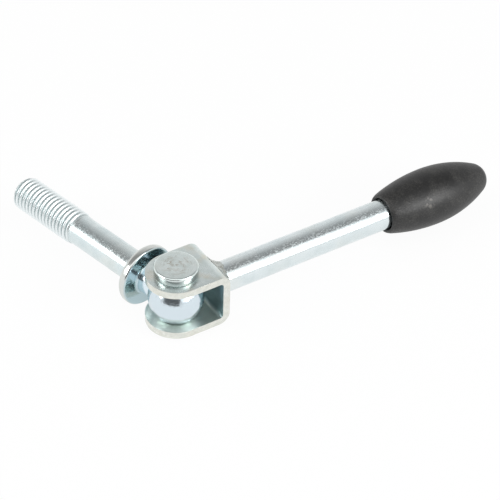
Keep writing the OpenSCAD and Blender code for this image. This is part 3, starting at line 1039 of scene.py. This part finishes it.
add_node(ripple, "NodeGroupOutput", {0: plated_bead})
bead_object = bpy.data.objects.new("bead", bead_mesh)
scene.collection.objects.link(bead_object)
rippling = bead_object.modifiers.new("weld_ripples", "NODES")
rippling.node_group = ripple
for size_name, size in ripple_sizes.items():
    rippling[ripple_ports[size_name]] = size
rippling[skin_port.identifier] = weld_zinc
weld_mesh = plain_mesh(bead_object, "weld_bead_run")
weld_mesh.transform(handle_frame @ Matrix.Scale(mm, 4))
finish_piece(weld_mesh, "handle", "weld_bead", 60)


# Grip
# An oval grip moulded in soft black PVC with a blind hole, pushed on the bar to the hole's end.
# It is matt with a fine grain, and its mouth has a thin rounded lip.
grip_len = 51.4
grip_r = 11.85
grip_belly = 23.4
mouth_r = 8.2
nose_r = 7.0
lip_r = 0.7
lip_ease = 0.15
hole_r = 6.2
flare = 0.8
flare_len = 1.6
grip_steps = 128
drop = grip_r - mouth_r
front_arc = (grip_belly ** 2 + drop ** 2) / (2 * drop)
front_end = math.degrees(math.asin(grip_belly / front_arc))
nose_run = grip_len - nose_r - grip_belly
rear_arc = (nose_run ** 2 + grip_r ** 2 - nose_r ** 2) / (2 * (grip_r - nose_r))
rear_end = math.degrees(math.asin(nose_run / (rear_arc - nose_r)))
flare_r = hole_r + flare
grip_line = [(hole_len, 0.0), (hole_len, hole_r), (flare_len, hole_r)]
grip_line += [(lip_ease, flare_r - 0.05), (0.0, flare_r + lip_ease)]
grip_line += arc((lip_r, mouth_r - lip_r), lip_r, 180, 90 + front_end, 5)
grip_line += arc((grip_belly, grip_r - front_arc), front_arc, 90 + front_end - 1.0, 90, 24)
grip_line += arc((grip_belly, grip_r - rear_arc), rear_arc, 90, 90 - rear_end, 24)[1:]
grip_line += arc((grip_len - nose_r, 0.0), nose_r, 90 - rear_end, 1.0, 16)[1:]
grip_line += [(grip_len, 0.0)]
grip_place = handle_frame @ Matrix.Translation((mouth_at * mm, 0, 0))
grip_mesh = placed_mesh(turned(grip_line, grip_steps), "moulded_grip", grip_place)

# Soft PVC: near black, with a dull sheen, soft dents from handling, a dusty bloom in specks of about
# 0.6 mm and one small pale scuff on its front.
pvc_ior = 1.54
pvc_tint = "#101010"
bloom_tint = "#383735"
scuff_tint = "#6b6863"
bloom_mm = 0.6
dent_mm = 6.0
nick_mm = 1.3
bloom_deep = 0.08
dent_deep = 0.22
scuff_edge = (3.0, 1.5)
scuff_at = grip_place @ (Vector((16.3, -9.8, 6.1)) * mm)
soft_pvc = bpy.data.materials.new("soft_black_pvc")
soft_pvc.use_nodes = True
moulding = soft_pvc.node_tree
pvc_shader = moulding.nodes["Principled BSDF"]
pvc_shader.inputs["IOR"].default_value = pvc_ior
pvc_at = add_node(moulding, "ShaderNodeTexCoord").outputs["Object"]
handled = add_node(
    moulding, "ShaderNodeTexNoise",
    {"Vector": pvc_at, "Scale": 1 / (dent_mm * mm), "Detail": 4.0, "Roughness": 0.6})
specks = add_node(
    moulding, "ShaderNodeTexNoise",
    {"Vector": pvc_at, "Scale": 1 / (bloom_mm * mm), "Detail": 2.0, "Roughness": 0.7})
bloom_spots = add_node(
    moulding, "ShaderNodeMath", {0: handled, 1: specks}, operation="MULTIPLY")
bloom = add_node(moulding, "ShaderNodeMapRange", {0: bloom_spots, 1: 0.22, 2: 0.42})
black = add_node(
    moulding, "ShaderNodeMix", {0: bloom, 6: colour(pvc_tint), 7: colour(bloom_tint)},
    data_type="RGBA").outputs[2]
nick_spots = add_node(
    moulding, "ShaderNodeTexNoise",
    {"Vector": pvc_at, "Scale": 1 / (nick_mm * mm), "Detail": 0.0})
scuff_far = add_node(
    moulding, "ShaderNodeVectorMath", {0: pvc_at, 1: scuff_at}, operation="DISTANCE").outputs["Value"]
in_scuff = add_node(
    moulding, "ShaderNodeMapRange",
    {0: scuff_far, 1: scuff_edge[0] * mm, 2: scuff_edge[1] * mm, 3: 0.0, 4: 0.7})
nicks = add_node(
    moulding, "ShaderNodeMapRange",
    {0: nick_spots, 1: 0.54, 2: 0.66, 3: 0.0, 4: in_scuff})
nicked = add_node(
    moulding, "ShaderNodeMix", {0: nicks, 6: black, 7: colour(scuff_tint)},
    data_type="RGBA").outputs[2]
moulding.links.new(nicked, pvc_shader.inputs["Base Color"])
sheen = add_node(
    moulding, "ShaderNodeMapRange", {0: handled, 1: 0.3, 2: 0.7, 3: 0.38, 4: 0.48})
moulding.links.new(sheen.outputs[0], pvc_shader.inputs["Roughness"])
dent_bump = add_node(
    moulding, "ShaderNodeBump",
    {"Height": handled, "Strength": 0.8, "Distance": dent_deep * mm})
grain_bump = add_node(
    moulding, "ShaderNodeBump",
    {"Height": specks, "Strength": 0.8, "Distance": bloom_deep * mm, "Normal": dent_bump})
moulding.links.new(grain_bump.outputs[0], pvc_shader.inputs["Normal"])
grip_mesh.materials.append(soft_pvc)
finish_piece(grip_mesh, "handle", "grip", 35)
